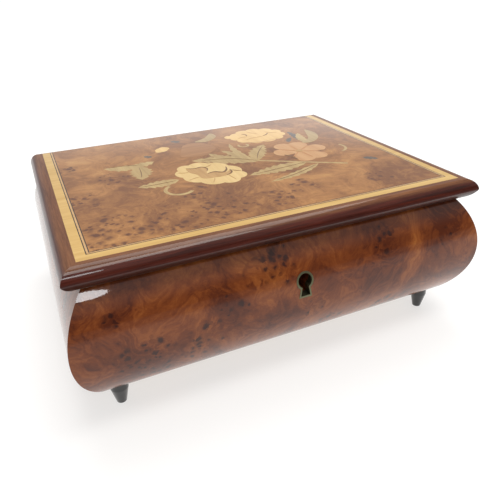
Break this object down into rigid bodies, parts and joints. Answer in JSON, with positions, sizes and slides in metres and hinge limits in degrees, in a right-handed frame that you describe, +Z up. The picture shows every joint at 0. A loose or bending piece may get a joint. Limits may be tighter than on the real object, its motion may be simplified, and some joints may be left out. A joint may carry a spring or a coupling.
{
  "type": "cylinder music box",
  "caption": "Inlaid wooden musical jewellery box with curved sides, hinged lid, small feet, lock and a pinned-cylinder movement inside",
  "frame": {"origin": "middle of the case's footprint, on the plane that the four feet stand on", "axes": "+Z up, +X to the right along the front, +Y from the front to the back"},
  "size_m": [0.2066, 0.1673, 0.079],
  "materials": {
    "burl_case": "gloss lacquer over burl veneer",
    "burl_lid": "gloss lacquer over burl veneer",
    "mahogany": "gloss lacquer",
    "plain_wood": "satin",
    "black_feet": "black lacquer",
    "clear_cover": "clear plate",
    "velvet": "velvet",
    "old_brass": "aged",
    "brass": "satin",
    "plated_metal": "plated",
    "steel": "polished",
    "maple": "gloss lacquer",
    "ebony_line": "gloss lacquer",
    "light_line": "gloss lacquer",
    "cream_veneer": "gloss lacquer",
    "yellow_veneer": "gloss lacquer",
    "orange_veneer": "gloss lacquer",
    "green_veneer": "gloss lacquer",
    "blue_veneer": "gloss lacquer",
    "mirror_glass": "silvered glass"
  },
  "bodies": {
    "case": {"front_panel": "burl_case", "back_panel": "burl_case", "left_panel": "burl_case", "right_panel": "burl_case", "base_board": "plain_wood", "foot_front_left": "black_feet", "foot_front_right": "black_feet", "foot_back_left": "black_feet", "foot_back_right": "black_feet", "partition": "plain_wood", "tray_divider": "plain_wood", "cover_ledges": "plain_wood", "movement_cover": "clear_cover", "case_lining": "velvet", "tray_pad": "velvet", "ring_rolls": "velvet", "keyhole_escutcheon": "old_brass", "lock_case": "brass", "case_screws": "brass", "hinge_case_leaves": "brass", "hinge_pins": "brass", "underside_screws": "brass", "bedplate": "plated_metal", "comb_block": "plated_metal", "comb": "steel", "comb_screws": "steel", "barrel_bridge": "plated_metal", "governor_frame": "plated_metal"},
    "lid": {"lid_rail_front": "mahogany", "lid_rail_left": "mahogany", "lid_rail_right": "mahogany", "lid_back_lipping": "mahogany", "lid_core": "plain_wood", "burl_field": "burl_lid", "maple_band": "maple", "stringing_dark": "ebony_line", "stringing_light": "light_line", "flower_cream": "cream_veneer", "flower_yellow": "yellow_veneer", "flower_orange": "orange_veneer", "inlaid_leaves": "green_veneer", "inlaid_dark_leaves": "blue_veneer", "lid_lining_panel": "velvet", "lid_mirror": "mirror_glass", "mirror_frame": "brass", "hinge_lid_leaves": "brass", "lid_screws": "brass", "link_plate": "brass"},
    "lock_bolt": {"lock_bolt": "brass"},
    "tune_cylinder": {"tune_cylinder": "brass", "cylinder_arbor": "brass", "cylinder_pins": "steel"},
    "spring_barrel": {"barrel_drum": "plated_metal", "crown_gear": "brass", "mainspring": "steel"},
    "winder": {"winding_arbor": "steel", "winding_key": "steel"},
    "governor_wheel": {"governor_wheel": "brass"},
    "governor_worm": {"governor_worm": "steel"},
    "stop_plunger": {"stop_plunger": "steel"}
  },
  "joints": [
    {"name": "lid_hinge", "type": "hinge", "parent": "case", "child": "lid", "pos_m": [0, 0.0737, 0.068], "axis": [-1, 0, 0], "range_deg": [0, 95]},
    {"name": "lock_bolt_slide", "type": "slide", "parent": "case", "child": "lock_bolt", "axis": [1, 0, 0], "range_m": [0, 0.003]},
    {"name": "cylinder_spin", "type": "hinge", "parent": "case", "child": "tune_cylinder", "pos_m": [0.0508, 0, 0.0376], "axis": [0, 1, 0], "continuous": true},
    {"name": "barrel_spin", "type": "hinge", "parent": "case", "child": "spring_barrel", "pos_m": [0.0508, 0.0305, 0.025], "axis": [0, 0, 1], "continuous": true},
    {"name": "governor_wheel_spin", "type": "hinge", "parent": "case", "child": "governor_wheel", "pos_m": [0.0625, -0.0215, 0.0376], "axis": [0, 1, 0], "continuous": true},
    {"name": "governor_fan_spin", "type": "hinge", "parent": "case", "child": "governor_worm", "pos_m": [0.06973, -0.0215, 0.0376], "axis": [0, 0, 1], "continuous": true},
    {"name": "winding_key_turn", "type": "hinge", "parent": "case", "child": "winder", "pos_m": [0.0508, 0.0305, 0.01], "axis": [0, 0, 1], "continuous": true},
    {"name": "stop_plunger_lift", "type": "slide", "parent": "case", "child": "stop_plunger", "axis": [0, 0, 1], "range_m": [0, 0.005]}
  ],
  "couplings": [
    {"joint": "barrel_spin", "follows": "cylinder_spin", "ratio": -0.41667},
    {"joint": "governor_wheel_spin", "follows": "cylinder_spin", "ratio": -5.5},
    {"joint": "governor_fan_spin", "follows": "cylinder_spin", "ratio": -132},
    {"joint": "stop_plunger_lift", "follows": "lid_hinge", "m_per_rad": 0.003}
  ]
}
